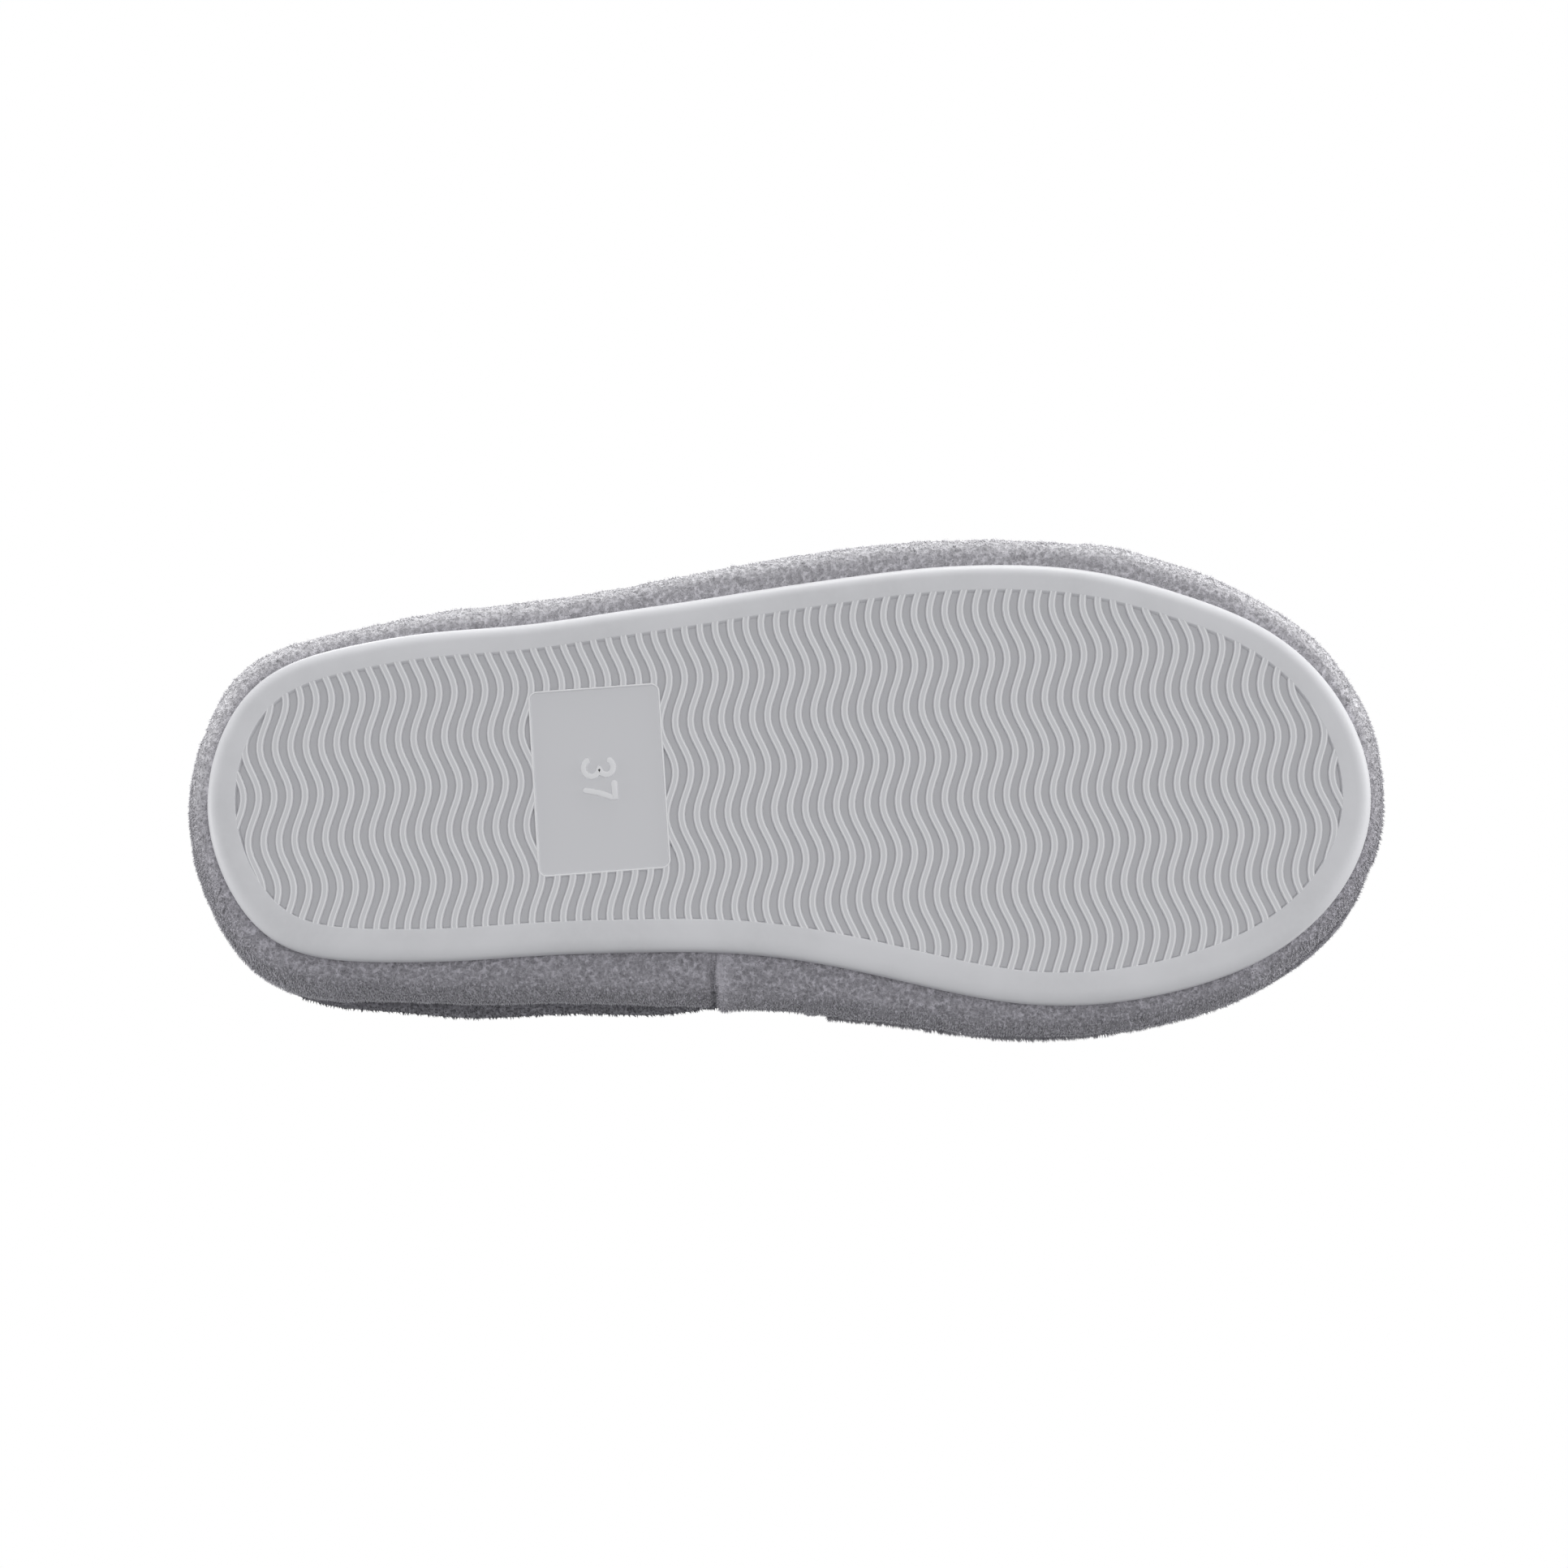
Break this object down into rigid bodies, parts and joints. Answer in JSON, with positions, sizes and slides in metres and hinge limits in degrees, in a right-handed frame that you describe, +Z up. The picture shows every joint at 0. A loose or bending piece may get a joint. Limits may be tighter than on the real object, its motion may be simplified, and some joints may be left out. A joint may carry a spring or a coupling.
{
  "type": "spa slipper",
  "caption": "Closed-toe, open-back fleece spa slipper for the right foot: ribbed rubber outsole, fleece-wrapped foam platform, padded footbed and vamp.",
  "frame": {"origin": "on the ground under the middle of the slipper's bounding box", "axes": "+Z up, +Y towards the heel, toe towards -Y, +X towards the inner (medial) side of the right foot"},
  "size_m": [0.1098, 0.2542, 0.0751],
  "materials": {
    "sole_rubber": "matt moulded thermoplastic rubber, light grey",
    "felt_filler": "needled felt",
    "platform_foam": "closed-cell EVA foam",
    "wrap_fleece": "coral fleece, short soft pile, grey lavender",
    "fibre_board": "pressed cellulose fibre board",
    "footbed_foam": "slow-recovery foam",
    "footbed_fleece": "short-pile fleece, darker grey lavender",
    "vamp_fleece": "coral fleece, short soft pile, grey lavender",
    "vamp_sponge": "open-cell sponge",
    "binding_fleece": "coral fleece rolled over a soft filling",
    "thread": "twisted polyester thread"
  },
  "bodies": {
    "root": {"outsole": "sole_rubber", "bottom_filler": "felt_filler", "platform_core": "platform_foam", "platform_wrap": "wrap_fleece", "insole_board": "fibre_board", "footbed_foam": "footbed_foam", "footbed_cover": "footbed_fleece", "vamp_outer": "vamp_fleece", "vamp_foam": "vamp_sponge", "vamp_lining": "footbed_fleece", "throat_binding": "binding_fleece", "throat_stitching": "thread", "feather_seam_thread": "thread", "lap_seam_thread": "thread"}
  },
  "joints": []
}
